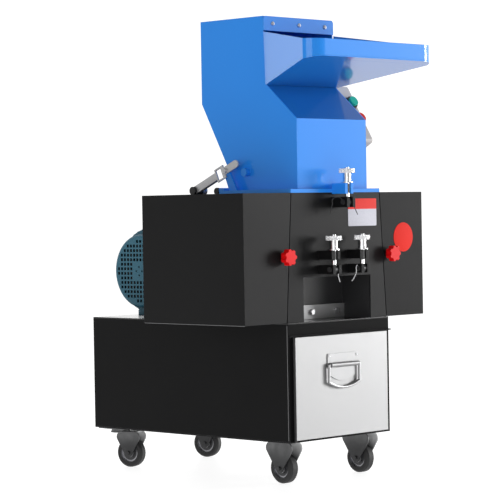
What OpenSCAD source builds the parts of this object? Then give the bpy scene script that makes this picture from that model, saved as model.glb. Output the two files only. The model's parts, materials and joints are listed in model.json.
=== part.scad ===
// Small plastic crusher on casters: a folded cabinet with a collecting drawer, a crushing
// chamber between two closed side guards, a hopper with a feed tray, and a motor behind.
// X runs across the machine, Y from the feed side to the back, Z up from the ground.

/* [Cabinet] */
// Width of the cabinet
base_w = 368; // [330:2:420]
// Length of the cabinet, front to back
base_l = 706; // [690:2:780]
// Height of the cabinet
base_h = 290; // [260:5:330]
// Sheet thickness of the cabinet
base_t = 3; // [2:0.5:4]
// Ground to the underside of the cabinet
caster_h = 104; // [98:1:112]

/* [Guards and chamber] */
// Height of the side guards above the cabinet
guard_h = 314; // [300:2:340]
// How far each guard stands out beside the cabinet
guard_out = 143; // [125:1:165]
// Length of the left guard, over the flywheel
guard_left_l = 350; // [330:2:380]
// How far the right guard, over the belt drive, ends in front of the cabinet's back
guard_end = 7.5; // [6:0.5:30]
// Sheet thickness of the guards
guard_t = 2.5; // [2:0.5:4]
// How far the guards and front plate stand behind the cabinet's front
guard_set = 4.5; // [3:0.5:8]
// How far the guards lean in over their height
guard_lean = 20.5; // [14:0.5:24]
// Gap between a guard and the plates beside it
guard_gap = 3; // [2:0.5:5]
// Thickness of the front plate
plate_t = 4; // [3:0.5:6]
// Thickness of the chamber's side plates
side_t = 12; // [8:1:16]
// Thickness of the chamber's back and lid
chamber_t = 8; // [6:0.5:12]
// Half width of the window in the front plate
window_x = 122.8; // [105:0.2:126]
// Height of the window
window_h = 108; // [96:1:114]
// Depth of the recess behind the window
recess_d = 92; // [80:1:94]
// Sheet thickness of the recess
recess_t = 3; // [2:0.5:4]
// Height of the bare steel strip in the recess
strip_h = 35; // [28:1:42]
// Thickness of the bare steel strip
strip_t = 8; // [5:0.5:10]
// Radius of the rotor's core
rotor_r = 58; // [48:1:62]
// Radius of the rotor's shaft
rotor_shaft_r = 20; // [15:0.5:24]
// How far a rotor knife reaches past the core
knife_out = 10; // [6:0.5:12]
// Height of the rotor's axis above the cabinet
rotor_z = 157; // [150:1:170]

/* [Hopper] */
// Half width of the hopper
hopper_x = 127; // [118:1:132]
// Sheet thickness of the hopper and tray
hopper_t = 3; // [2:0.5:4]
// Thickness of the hopper's foot flange
flange_t = 9.5; // [8:0.5:12]
// Length of the foot flange, front to back
flange_l = 245; // [240:1:255]
// How far the neck's front stands behind the flange's front
neck_set = 10.5; // [8:0.5:16]
// Height of the neck's upright front
neck_h = 171.5; // [150:0.5:185]
// How far back the neck slopes
neck_back = 98; // [85:1:110]
// Rise of the neck's slope
neck_rise = 85.5; // [75:0.5:95]
// Length of the throat at the flange
throat_l = 205.5; // [190:0.5:215]
// Height of the hopper's back above the flange where its slope ends
slant_rise = 220; // [200:1:240]
// How far back the slope leans
slant_back = 121; // [105:1:130]
// Height of the hopper above the flange
hopper_h = 427.5; // [410:0.5:440]
// Height of the lintel over the feed mouth
lintel_h = 36; // [30:1:44]
// Radius of the lintel's upper corners
lintel_r = 8; // [4:1:14]

/* [Feed tray] */
// How far the tray reaches in front of the cabinet
tray_reach = 134; // [110:1:150]
// Half width of the tray's straight front
tray_x = 182; // [165:1:195]
// Outer radius of the tray's corners
tray_r = 48; // [40:1:56]
// Where a flare meets its corner, as an angle round the corner
tray_crease = 70; // [60:1:76]
// Slope of the tray's floor
tray_slope = 12.5; // [9:0.5:15]
// Height of the tray's rim at the front
rim_h = 41; // [34:1:48]

/* [Swing bolts] */
// Radius of a swing bolt's shank
bolt_r = 5.5; // [4:0.5:6.5]
// Radius of the nut's collar
collar_r = 10; // [8:0.5:12]
// Radius of the washer under the nut's collar
washer_r = 15; // [13:0.5:17]
// Length of the nut's collar
collar_h = 24; // [18:1:30]
// Radius of the nut's knurled head
head_r = 20; // [16:0.5:24]
// Thickness of the nut's knurled head
head_h = 11; // [8:0.5:14]
// Pivot pin to the underside of the nut
bolt_l = 47; // [42:0.5:52]
// Distance from the middle to each lower bolt
bolt_x = 52; // [46:1:60]
// How far the bolts stand in front of the front plate
bolt_out = 37; // [32:1:42]
// Height of the lower bolts' pins above the cabinet
bolt_z = 126; // [122:1:132]
// Radius of a swing bolt's pin
pin_r = 4; // [3:0.5:5]
// How far an ear reaches in front of its bolt
ear_out = 7; // [5:0.5:8]
// Height of the ears
ear_h = 22; // [18:1:26]
// Thickness of each ear beside the bolt
ear_t = 9; // [6:0.5:12]
// Radius of a star knob
knob_r = 20; // [16:0.5:24]

/* [Drawer] */
// Half width of the drawer's front
drawer_x = 168; // [155:1:172]
// Height of the drawer's front
drawer_h = 253; // [225:1:256]
// Half width of the drawer's bin
bin_x = 152; // [140:1:156]
// Length of the drawer's bin
bin_l = 560; // [480:5:600]
// Height of the drawer's bin
bin_h = 216; // [190:1:226]
// Sheet thickness of the drawer
bin_t = 2; // [1.5:0.5:3]
// Thickness of the drawer's front
front_t = 8; // [5:0.5:12]
// Half width of the handle's plate
handle_x = 60; // [50:1:70]
// Height of the handle's plate above the pivots
handle_h = 28; // [22:1:34]
// Depth of the handle's shield below the pivots
shield_h = 40; // [34:1:44]
// Depth of the bail's pivots below the drawer's top
handle_drop = 73; // [60:1:90]
// Radius of the bail's wire
bail_r = 3.5; // [2.5:0.5:4.5]
// Length of the bail below its pivots
bail_l = 56; // [50:1:64]
// Sag of the bail's curved foot
bail_sag = 14; // [8:1:18]

/* [Motor] */
// Shaft height above the cabinet
motor_h = 119; // [116:1:124]
// Distance of the shaft in front of the cabinet's back
motor_in = 106; // [104:1:116]
// Radius over the motor's fins
motor_r = 112; // [104:1:114]
// Height of the motor's fins
fin_h = 10; // [6:0.5:12]
// Number of fins round the motor
fin_count = 40; // [24:4:56]
// Outer radius of the fan cover
cover_r = 96; // [84:1:97]
// Length of the fan cover
cover_l = 37; // [30:1:50]
// Sheet thickness of the fan cover
cover_t = 2; // [1.5:0.5:3]
// Round edge of the fan cover
cover_edge = 9; // [7:1:12]
// Spacing of the holes in the fan cover
grid_pitch = 12; // [11:0.5:14]
// Side of a hole in the fan cover
grid_hole = 7.6; // [6:0.2:8.4]
// Distance of the fan cover's face to the left of the middle
cover_x = 115; // [105:1:125]
// Length of the motor's finned body
motor_l = 203; // [190:1:212]

/* [Controls] */
// Width of the switch box
box_w = 60; // [50:1:75]
// Length of the switch box along its front
box_l = 170; // [140:1:178]
// Depth of the switch box
box_d = 70; // [55:1:80]
// Tilt of the switch box
box_tilt = 31; // [25:1:40]
// Radius of a push button
button_r = 13; // [10:0.5:15]
// Distance between the push buttons
button_pitch = 50; // [42:1:54]
// Radius of the bore in the cable gland under the box
gland_r = 5; // [3.5:0.5:6]

/* [Casters] */
// Radius of a caster's wheel
wheel_r = 37.5; // [34:0.5:40]
// Width of a caster's wheel
wheel_w = 26; // [20:1:30]
// Half distance between the casters, side to side
caster_x = 140; // [125:1:146]
// Front casters' distance behind the cabinet's front
caster_front_y = 62; // [56:1:75]
// Rear casters' swivel distance in front of the cabinet's back
caster_rear_in = 51; // [50:1:80]
// Half length of a front caster's fork under its plate
fork_front = 44; // [38:1:46]
// Half length of a rear caster's fork
fork_rear = 34; // [30:1:38]
// Radius of the forks' rounded shoulders
shoulder_r = 14; // [10:1:15]
// Distance of a rear wheel from its swivel axis
caster_trail = 32; // [24:1:36]
// Angle at which the rear casters stand
caster_turn = 18; // [0:1:40]
// Radius of a caster's axle
axle_r = 5; // [4:0.5:6]
// Thickness of a caster's plates
caster_t = 3; // [2.5:0.5:4]

/* [Stay lever] */
// Length of the stay lever between its pin and its grip
stay_l = 121; // [112:1:124]
// Width of the stay lever
stay_w = 19; // [16:1:20]
// Length of the lever's end plate in front of its pin
stay_tail = 40; // [30:1:44]
// Length of the yoke behind the pin
yoke_l = 34; // [30:1:38]
// Width of the yoke
yoke_w = 34; // [28:1:36]
// Radius of the stay lever's grip
grip_r = 10.5; // [10.5:0.5:12]

/* [Hidden] */
$fn = 48;

black = [0.09, 0.09, 0.1];
blue = [0.22, 0.5, 0.92];
zinc = [0.72, 0.72, 0.74];
steel = [0.8, 0.8, 0.82];
red = [0.85, 0.12, 0.14];
teal = [0.29, 0.51, 0.59];
// Clearances: face to face, sliding and turning
seat = 0.3;
run = 0.5;
turn = 0.05;
nut_gap = 0.8;
// Overshoot of a cut past a face
cut = 1;

// The cabinet's front stands so that the whole machine is centred in Y
front_y = -(base_l - tray_reach) / 2;
base_top = caster_h + base_h;
guard_top = base_top + guard_h;
side_x = base_w / 2;
plate_low = side_x - guard_gap;
plate_high = side_x - guard_lean - guard_gap;
plate_y = guard_set + plate_t;
chamber_x = plate_high - 2;
chamber_back_y = guard_set + guard_left_l;
recess_y = plate_y + recess_d;
rotor_y = guard_set + guard_left_l / 2;
guard_right_l = base_l - guard_end - guard_set;
flange_top = guard_top + flange_t;
neck_y = guard_set + neck_set;
notch_y = neck_y + neck_back;
notch_z = flange_top + neck_h + neck_rise;
mouth_lean = 10;
mouth_y = notch_y + mouth_lean;
hopper_top = flange_top + hopper_h;
throat_y = neck_y + throat_l;
back_y = throat_y + slant_back;
lintel_z = hopper_top - lintel_h;
// The tray in plan: a flare on each side, a round corner and a straight front
corner_y = -tray_reach + tray_r;
crease_x = tray_x + tray_r * sin(tray_crease);
crease_y = corner_y - tray_r * cos(tray_crease);
flare_run = (crease_x - hopper_x) / (mouth_y - crease_y);
floor_front_z = notch_z + (notch_y + tray_reach) * tan(tray_slope);
rim_z = floor_front_z + rim_h;
bolt_y = guard_set - bolt_out;
pin_z = base_top + bolt_z;
top_pin_z = flange_top + 13.5 - bolt_l;
box_x = hopper_x + 3;
drawer_z = caster_h + 1.5;
bin_z = caster_h + base_t + 4;
handle_t = 2;
knuckle_r = bail_r + 2.5;
bail_z = drawer_z + drawer_h - handle_drop;
bail_y = -front_t - knuckle_r;
motor_y = base_l - motor_in;
motor_z = base_top + motor_h;
motor_x = cover_l - cover_x;
button_x = 0.7 * box_w;
button_low = 0.38 * box_l;
gland_x = 22;
gland_l = 16;
gland_in = 12;
stay_x = hopper_x + 24;
stay_y = throat_y + 17.5;
stay_z = flange_top + 49.5;
stay_t = 4;
stay_pin_r = 5;
lug_t = 6;
caster_rear_y = base_l - caster_rear_in;
fork_gap = wheel_w / 2 + 3;
race_h = 7;

// Places what is measured from the cabinet's front
module place() {
    translate([0, front_y, 0]) children();
}

// A solid along X from the profile drawn in Y and Z
module along_x(x0, x1) {
    translate([x0, 0, 0]) rotate([90, 0, 90]) linear_extrude(x1 - x0) children();
}

// A solid along Y from the profile drawn in X and Z
module along_y(y0, y1) {
    translate([0, y1, 0]) rotate([90, 0, 0]) linear_extrude(y1 - y0) children();
}

// A round bar along X
module bar_x(x0, x1, r) {
    translate([x0, 0, 0]) rotate([0, 90, 0]) cylinder(r = r, h = x1 - x0);
}

// A box from one corner to the other
module block(low, high) {
    translate(low) cube(high - low);
}

// CABINET

// The sides and the back are one folded sheet
module cabinet_walls() {
    color(black) place() difference() {
        block([-side_x, base_t, caster_h + base_t], [side_x, base_l, base_top - base_t]);
        block([base_t - side_x, 0, caster_h], [side_x - base_t, base_l - base_t, base_top]);
    }
}

// The deck is open below the chamber, so that the granules fall into the drawer
module cabinet_deck() {
    color(black) place() difference() {
        block([-side_x, 0, base_top - base_t], [side_x, base_l, base_top]);
        block([side_t - chamber_x, recess_y + recess_t + 6, base_top - base_t - cut],
            [chamber_x - side_t, chamber_back_y - 12, base_top + cut]);
    }
}

module cabinet_floor() {
    runner_w = 12;
    color(black) place() {
        block([-side_x, 0, caster_h], [side_x, base_l, caster_h + base_t]);
        for (s = [-1, 1]) translate([s * (bin_x - runner_w), 0, 0])
            block([-runner_w / 2, base_t, caster_h + base_t],
                [runner_w / 2, bin_l, bin_z - seat]);
    }
}

// The front is a frame round the drawer, with a drip lip above it
module cabinet_front() {
    lip = 8;
    lip_z = drawer_z + drawer_h + 2;
    color(black) place() {
        difference() {
            block([-side_x, seat, caster_h + base_t], [side_x, base_t, base_top - base_t]);
            block([-bin_x - 3, -cut, caster_h + base_t - cut],
                [bin_x + 3, base_t + cut, bin_z + bin_h + 3]);
        }
        block([-side_x, -lip, lip_z], [side_x, base_t, lip_z + base_t]);
    }
}

// CHAMBER AND GUARDS

module front_plate() {
    color(black) place() along_y(guard_set, plate_y) difference() {
        polygon([[-plate_low, base_top], [plate_low, base_top],
            [plate_high, guard_top], [-plate_high, guard_top]]);
        translate([-window_x, base_top - cut]) square([2 * window_x, window_h + cut]);
    }
}

// A bent sheet lines the recess behind the window
module recess_box() {
    top = base_top + window_h;
    color(black) place() difference() {
        block([-window_x - recess_t, plate_y, base_top],
            [window_x + recess_t, recess_y + recess_t, top + recess_t]);
        block([-window_x, plate_y - cut, base_top - cut], [window_x, recess_y, top]);
    }
}

module steel_strip() {
    color(steel) place() block([-window_x + run, recess_y - strip_t, base_top + seat],
        [window_x - run, recess_y, base_top + strip_h]);
}

// Two side plates bored for the shaft, the back, and a lid over what the hopper leaves open
module chamber() {
    inner = chamber_x - side_t;
    lid_y = guard_set + flange_l + run;
    color(black) place() difference() {
        union() {
            for (s = [-1, 1]) along_x(s > 0 ? inner : -chamber_x, s > 0 ? chamber_x : -inner)
                translate([plate_y, base_top]) square([chamber_back_y - plate_y, guard_h]);
            along_x(-inner, inner) polygon([
                [chamber_back_y - chamber_t, base_top], [chamber_back_y, base_top],
                [chamber_back_y, guard_top], [lid_y, guard_top], [lid_y, guard_top - chamber_t],
                [chamber_back_y - chamber_t, guard_top - chamber_t]]);
        }
        translate([0, rotor_y, base_top + rotor_z])
            bar_x(-side_x, side_x, rotor_shaft_r + turn);
    }
}

// Rotor: core, shaft and three knives set back to the cut
module rotor() {
    half = chamber_x - side_t - 4;
    color(steel) place() translate([0, rotor_y, base_top + rotor_z]) {
        bar_x(-half, half, rotor_r);
        bar_x(-side_x - 30, side_x + 30, rotor_shaft_r);
        for (a = [30, 150, 270]) rotate([a, 0, 0]) along_x(-half, half)
            polygon([[rotor_r - 14, 0], [rotor_r + knife_out, 0],
                [rotor_r + knife_out - 8, 12], [rotor_r - 14, 12]]);
    }
}

// A guard is a closed folded cover, with a hole for each shaft that enters it
module guard(length, shafts) {
    high_x = side_x - guard_lean;
    out = side_x + guard_out;
    y0 = guard_set;
    y1 = guard_set + length;
    t = guard_t;
    color(black) place() difference() {
        along_y(y0, y1) polygon([[side_x, base_top + seat], [out, base_top + seat],
            [out, guard_top], [high_x, guard_top]]);
        along_y(y0 + t, y1 - t) polygon([
            [side_x + t, base_top + seat + t], [out - t, base_top + seat + t],
            [out - t, guard_top - t], [high_x + t, guard_top - t]]);
        for (yz = shafts) translate([0, yz[0], yz[1]]) bar_x(0, side_x + 20, rotor_shaft_r + 6);
    }
}

module left_guard() {
    mirror([1, 0, 0]) guard(guard_left_l, [[rotor_y, base_top + rotor_z]]);
}

module right_guard() {
    guard(guard_right_l, [[rotor_y, base_top + rotor_z], [motor_y, motor_z]]);
}

// CLAMPS

// A pair of ears either side of a bolt, from the plate to just past the bolt
module ear_pair(z0, z1, reach) {
    for (s = [-1, 1]) translate([s * (bolt_r + run + ear_t / 2), 0, 0])
        block([-ear_t / 2, bolt_y - reach, z0], [ear_t / 2, guard_set, z1]);
}

// The black ears: lower pairs and the top bracket carry the bolts' pins, upper pairs take the nuts
module clamp_ears() {
    nut_z = pin_z + bolt_l - nut_gap;
    color(black) place() {
        for (s = [-1, 1]) translate([s * bolt_x, 0, 0]) {
            bored_ears(pin_z, ear_h / 2);
            ear_pair(nut_z - ear_h, nut_z, ear_out);
        }
        bored_ears(top_pin_z, ear_h / 2 + 2);
    }
}

// A pair of ears bored for a pin
module bored_ears(z, half) {
    difference() {
        ear_pair(z - half, z + half, half);
        translate([0, bolt_y, z]) bar_x(-bolt_x, bolt_x, pin_r + turn);
    }
}

// Swing bolt: eye, shank, collar and knurled head, with its pin through the eye
module swing_bolt() {
    knurls = 36;
    grip = bolt_r + run + ear_t;
    color(steel) {
        bar_x(-bolt_r, bolt_r, 9);
        cylinder(r = bolt_r, h = bolt_l + collar_h + head_h + 3);
        bar_x(-grip - 3, grip + 3, pin_r);
        bar_x(-grip - 3, -grip - seat, pin_r + 2.5);
        translate([0, 0, bolt_l]) cylinder(r = washer_r, h = 2.5);
        translate([0, 0, bolt_l]) cylinder(r = collar_r, h = collar_h);
        translate([0, 0, bolt_l + collar_h]) difference() {
            cylinder(r = head_r, h = head_h);
            for (k = [0:knurls - 1]) rotate(360 * k / knurls) translate([head_r + 0.6, 0, -cut])
                cylinder(r = 1.6, h = head_h + 2 * cut, $fn = 16);
        }
    }
}

module swing_bolt_left() {
    place() translate([-bolt_x, bolt_y, pin_z]) swing_bolt();
}

module swing_bolt_right() {
    place() translate([bolt_x, bolt_y, pin_z]) swing_bolt();
}

module swing_bolt_top() {
    place() translate([0, bolt_y, top_pin_z]) swing_bolt();
}

// Star knobs: seven lobes round a hub, each on its stud through a guard's front
module star_knobs() {
    lobes = 7;
    knob_h = 16;
    stud_h = 10;
    knob_in = 0.9 * knob_r;
    knob_z = base_top + guard_h / 2 + 2;
    color(red) place() for (s = [-1, 1])
        translate([s * (side_x - guard_lean / 2 + knob_in), guard_set - knob_h - stud_h, knob_z])
            rotate([-90, 0, 0]) {
                difference() {
                    cylinder(r = knob_r, h = knob_h);
                    for (k = [0:lobes - 1]) rotate(360 * (k + 0.5) / lobes)
                        translate([knob_r + 2, 0, -cut]) cylinder(r = 6, h = knob_h + 2 * cut);
                }
                translate([0, 0, knob_h]) cylinder(r = 8, h = stud_h);
            }
}

// HOPPER

// Foot flange round the throat, with two ears in front that take the top swing bolt
module hopper_flange() {
    in = hopper_x - hopper_t;
    nut_z = top_pin_z + bolt_l - nut_gap;
    color(blue) place() {
        difference() {
            block([-plate_high - 2, guard_set, guard_top],
                [plate_high + 2, guard_set + flange_l, flange_top]);
            block([-in, neck_y + hopper_t, guard_top - cut],
                [in, throat_y - hopper_t, flange_top + cut]);
        }
        ear_pair(nut_z - ear_h - 4, nut_z, ear_out);
        stay_lug();
    }
}

// The lug on the flange leans back to the stay lever's pin
module stay_lug() {
    r = stay_pin_r + 5;
    foot = 26;
    lug_x = stay_t / 2 + run - stay_x;
    difference() {
        along_x(lug_x, lug_x + lug_t) {
            translate([stay_y, stay_z]) circle(r = r);
            polygon([[stay_y - r, stay_z], [stay_y + r, stay_z],
                [stay_y - r, flange_top], [stay_y - r - foot, flange_top]]);
        }
        translate([0, stay_y, stay_z]) bar_x(lug_x - cut, lug_x + lug_t + cut, stay_pin_r + turn);
    }
}

module hopper_side(x0, x1) {
    color(blue) place() along_x(x0, x1) polygon([[neck_y, flange_top],
        [neck_y, flange_top + neck_h], [notch_y, notch_z], [mouth_y, lintel_z],
        [mouth_y, hopper_top], [back_y, hopper_top],
        [back_y, flange_top + slant_rise], [throat_y, flange_top]]);
}

// The left wall has a boss beside the stay lever's end plate
module hopper_left() {
    boss_l = 14;
    boss_r = 10;
    hopper_side(-hopper_x, hopper_t - hopper_x);
    color(blue) place() translate([0, stay_y - stay_tail - 14, stay_z - 5])
        bar_x(-hopper_x - boss_l, -hopper_x, boss_r);
}

module hopper_right() {
    hopper_side(hopper_x - hopper_t, hopper_x);
}

// A folded strip of the hopper's sheet between its side walls
module hopper_sheet(points) {
    in = hopper_x - hopper_t;
    color(blue) place() along_x(-in, in) polygon(points);
}

module hopper_front() {
    t = hopper_t;
    lean = atan2(neck_back, neck_rise);
    fold = t * tan(lean / 2);
    hopper_sheet([[neck_y, flange_top], [neck_y, flange_top + neck_h], [notch_y, notch_z],
        [notch_y + t * cos(lean), notch_z - t * sin(lean)],
        [neck_y + t, flange_top + neck_h - fold], [neck_y + t, flange_top]]);
}

module hopper_back() {
    t = hopper_t;
    lean = atan2(slant_back, slant_rise);
    fold = t * tan(lean / 2);
    step = t / cos(lean);
    hopper_sheet([[throat_y, flange_top], [back_y, flange_top + slant_rise],
        [back_y, hopper_top - t], [back_y - t, hopper_top - t],
        [back_y - t, flange_top + slant_rise + fold], [throat_y - step, flange_top]]);
}

// Roof with the lintel folded down over the feed mouth
module hopper_roof() {
    in = hopper_x - hopper_t;
    color(blue) place() {
        block([-in, mouth_y, hopper_top - hopper_t], [in, back_y, hopper_top]);
        along_y(mouth_y - hopper_t, mouth_y) difference() {
            union() {
                translate([-hopper_x, lintel_z]) square([2 * hopper_x, lintel_h - lintel_r]);
                translate([lintel_r - hopper_x, lintel_z])
                    square([2 * (hopper_x - lintel_r), lintel_h]);
                for (s = [-1, 1]) translate([s * (hopper_x - lintel_r), hopper_top - lintel_r])
                    circle(r = lintel_r);
            }
        }
    }
}

// FEED TRAY

// The tray's outline in plan, drawn in by the given distance
module tray_plan(in) {
    slip = in * sqrt(1 + flare_run * flare_run);
    union() {
        polygon([[slip - hopper_x, mouth_y], [hopper_x - slip, mouth_y],
            [crease_x - slip, crease_y], [tray_x - in, corner_y - tray_r / 2],
            [in - tray_x, corner_y - tray_r / 2], [slip - crease_x, crease_y]]);
        translate([-tray_x, in - tray_reach]) square([2 * tray_x, crease_y + tray_reach - in]);
        intersection() {
            for (s = [-1, 1]) translate([s * tray_x, corner_y]) circle(r = tray_r - in);
            translate([-tray_x - tray_r, -tray_reach])
                square([2 * (tray_x + tray_r), crease_y + tray_reach]);
        }
    }
}

// Everything between two heights that slope with Y
module sloping(low_drop, high_points) {
    along_x(-tray_x - tray_r - cut, tray_x + tray_r + cut)
        polygon(concat([[-tray_reach - cut, floor_front_z - low_drop],
            [notch_y, notch_z - low_drop]], high_points));
}

module tray_floor() {
    t = hopper_t;
    color(blue) place() intersection() {
        translate([0, 0, notch_z - 2 * t]) linear_extrude(hopper_h) tray_plan(0);
        sloping(0, [[notch_y, notch_z + t], [-tray_reach - cut, floor_front_z + t]]);
    }
}

// The tray's flares and rim: the outline's shell, cut to the floor's and the rim's slopes
module tray_walls() {
    t = hopper_t;
    wide = tray_x + tray_r;
    color(blue) place() intersection() {
        translate([0, 0, notch_z - 2 * t]) linear_extrude(hopper_h) difference() {
            tray_plan(0);
            tray_plan(t);
        }
        sloping(-t, [[mouth_y - t, lintel_z - t], [crease_y, rim_z], [-tray_reach - cut, rim_z]]);
        union() {
            for (s = [-1, 1]) block([s > 0 ? hopper_x : -wide, crease_y, 0],
                [s > 0 ? wide : -hopper_x, mouth_y - t, hopper_top]);
            block([-wide, -tray_reach - cut, 0], [wide, crease_y + tray_r, hopper_top]);
        }
    }
}

// Hinge barrels at the flange's back edge, each with its leaf on the flange
module hopper_hinge() {
    barrel = 48;
    r = 8.5;
    y = guard_set + flange_l + run + r;
    color(black) place() for (s = [-1, 1])
        translate([s * (plate_high + 2 - barrel / 2), y, guard_top + r]) {
            bar_x(-barrel / 2, barrel / 2, r);
            block([-barrel / 2, -r - 16, flange_t - r], [barrel / 2, 0, flange_t - r + 4]);
        }
}

// STAY LEVER

// The lever turns on its pin in the flange's lug, and its round grip rests on the chamber's lid.
// In front of the pin is the end plate, behind it a yoke with a window and then a channel arm.
module stay_lever() {
    fall = asin((stay_z - guard_top - grip_r - seat) / stay_l);
    wide = stay_w / 2;
    side = stay_t / 2;
    bar = 4;
    lip = 8;
    grip_l = 44;
    pin_end = side + run + lug_t + run;
    color(zinc) place() translate([-stay_x, stay_y, stay_z]) rotate([-fall, 0, 0]) {
        along_x(-side, side) difference() {
            union() {
                translate([-stay_tail, 0]) circle(r = wide);
                translate([-stay_tail, -wide]) square([stay_tail + 2 * bar, stay_w]);
                translate([bar / 2, -yoke_w / 2]) square([yoke_l - bar / 2, yoke_w]);
                translate([yoke_l - cut, -wide]) square([stay_l - yoke_l + cut, stay_w]);
                translate([stay_l, 0]) circle(r = wide);
            }
            translate([3 * bar, bar - yoke_w / 2])
                square([yoke_l - 4 * bar, yoke_w - 2 * bar]);
        }
        for (z = [-wide, wide - bar / 2]) block([side - cut, yoke_l + bar, z],
            [side + lip, stay_l - grip_r, z + bar / 2]);
        translate([0, stay_l, 0]) bar_x(-2 * stay_t, grip_l - 2 * stay_t, grip_r);
        bar_x(-side - 5, pin_end + 3, stay_pin_r);
        bar_x(-side - 5, -side, stay_pin_r + 2);
        bar_x(pin_end, pin_end + 3, stay_pin_r + 2);
    }
}

// CONTROLS

// Places what is measured along the switch box's tilted front
module on_box() {
    corner_y = neck_y + 30;
    corner_z = flange_top + 0.7 * neck_h;
    place() translate([box_x, corner_y, corner_z]) rotate([-box_tilt, 0, 0]) children();
}

module switch_box() {
    r = 9;
    color([0.8, 0.77, 0.74]) on_box() {
        difference() {
            along_x(0, box_w) {
                translate([r, 0]) square([box_d - 2 * r, box_l]);
                translate([0, r]) square([box_d, box_l - 2 * r]);
                for (y = [r, box_d - r]) for (z = [r, box_l - r]) translate([y, z]) circle(r = r);
            }
            translate([gland_x, box_d / 2, -cut]) cylinder(r = gland_r, h = gland_in + cut);
        }
        for (k = [0, 1]) translate([button_x, 0, button_low + k * button_pitch]) rotate([90, 0, 0])
            difference() {
                cylinder(r = button_r + 4, h = 7);
                translate([0, 0, 3]) cylinder(r = button_r + run, h = 5);
            }
        for (z = [box_l / 5, 4 * box_l / 5]) translate([hopper_x - box_x, box_d / 2, z])
            rotate([0, 90, 0]) cylinder(r = 7, h = box_x - hopper_x);
        translate([gland_x, box_d / 2, -gland_l]) difference() {
            union() {
                cylinder(r = gland_r + 3.5, h = gland_l);
                translate([0, 0, gland_l / 3]) cylinder(r = gland_r + 6, h = gland_l / 2, $fn = 6);
            }
            translate([0, 0, -cut]) cylinder(r = gland_r, h = gland_l + 2 * cut);
        }
    }
}

module push_button(k) {
    on_box() translate([button_x, -6, button_low + k * button_pitch]) rotate([90, 0, 0])
        cylinder(r = button_r, h = 8);
}

module green_button() {
    color([0.1, 0.6, 0.5]) push_button(1);
}

module red_button() {
    color(red) push_button(0);
}

// MOTOR

module motor() {
    core = motor_r - fin_h;
    bell = 34;
    shaft = 14;
    foot_y = 0.75 * core;
    foot_w = 44;
    color(teal) place() translate([motor_x - cover_t, motor_y, motor_z]) {
        along_x(cover_t, motor_l) {
            circle(r = core);
            for (k = [0:fin_count - 1]) rotate(360 * (k + 0.5) / fin_count)
                translate([core - 3, -1.5]) square([fin_h + 3, 3]);
        }
        bar_x(cover_t - 10, cover_t, cover_r - cover_t - run);
        bar_x(cover_t, cover_t + 9, motor_r - 1);
        bar_x(motor_l, motor_l + bell / 4, core);
        translate([motor_l + bell / 4, 0, 0]) rotate([0, 90, 0])
            cylinder(r1 = core - 6, r2 = core / 2, h = bell / 2);
        bar_x(motor_l, motor_l + bell, core / 3);
        bar_x(motor_l + bell, side_x - motor_x + guard_out / 3, shaft);
        for (s = [-1, 1]) along_x(motor_l / 4, motor_l - 10) {
            translate([s * foot_y - foot_w / 2, -motor_h]) square([foot_w, 12]);
            translate([s * (foot_y - foot_w / 5) - 7, -motor_h]) square([14, motor_h - core / 2]);
        }
    }
}

// Fan cover: a spun cup with a grid of square holes round a plain hub
module fan_cover() {
    r = cover_r;
    e = cover_edge;
    t = cover_t;
    reach = r - e - grid_hole;
    n = ceil(r / grid_pitch);
    hub = 2 * grid_pitch;
    color(teal) place() translate([-cover_x, motor_y, motor_z]) rotate([0, 90, 0]) difference() {
        rotate_extrude() difference() {
            union() {
                square([r - e, cover_l]);
                translate([0, e]) square([r, cover_l - e]);
                translate([r - e, e]) circle(r = e);
            }
            translate([-cut, e]) square([r - t + cut, cover_l]);
            translate([-cut, t]) square([r - e + cut, cover_l]);
            translate([r - e, e]) circle(r = e - t);
            translate([-2 * r, -cut]) square([2 * r, cover_l + 2 * cut]);
        }
        for (i = [-n:n - 1]) for (j = [-n:n - 1]) {
            z = (i + 0.5) * grid_pitch;
            y = (j + 0.5) * grid_pitch;
            if (norm([y, z]) < reach && max(abs(y), abs(z)) > hub)
                translate([z, y, 0]) cube([grid_hole, grid_hole, 3 * t], center = true);
        }
        for (a = [0:90:270]) rotate(a) translate([11, 0, -cut]) cylinder(r = 2.5, h = 4 * t, $fn = 16);
    }
}

// DRAWER

module drawer() {
    color(steel) place() difference() {
        block([-bin_x, 0, bin_z], [bin_x, bin_l, bin_z + bin_h]);
        block([bin_t - bin_x, bin_t, bin_z + bin_t], [bin_x - bin_t, bin_l - bin_t, bin_z + bin_h + cut]);
    }
}

module drawer_front() {
    color(steel) place() block([-drawer_x, -front_t, drawer_z], [drawer_x, 0, drawer_z + drawer_h]);
}

// The handle's plate and the shield below it, seen from the front
module handle_outline() {
    r = 5;
    high_x = handle_x - 4;
    low_x = handle_x - bail_r - 10;
    arc_r = (low_x * low_x + bail_sag * bail_sag) / (2 * bail_sag);
    translate([-high_x, 0]) square([2 * high_x, handle_h - r]);
    translate([r - high_x, 0]) square([2 * (high_x - r), handle_h]);
    for (s = [-1, 1]) translate([s * (high_x - r), handle_h - r]) circle(r = r);
    intersection() {
        translate([-low_x, -shield_h - cut]) square([2 * low_x, shield_h + 2 * cut]);
        translate([0, arc_r - shield_h]) circle(r = arc_r, $fn = 128);
    }
}

// The plate's lower edge is rolled to a knuckle round the bail's rod
module handle_plate() {
    knuckle_x = handle_x - 2 * bail_r - 3;
    color(steel) place() difference() {
        union() {
            translate([0, 0, bail_z]) along_y(-front_t - handle_t, -front_t) handle_outline();
            translate([0, bail_y, bail_z]) bar_x(-knuckle_x, knuckle_x, knuckle_r);
        }
        translate([0, bail_y, bail_z]) bar_x(-handle_x, handle_x, bail_r + turn);
    }
}

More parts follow.
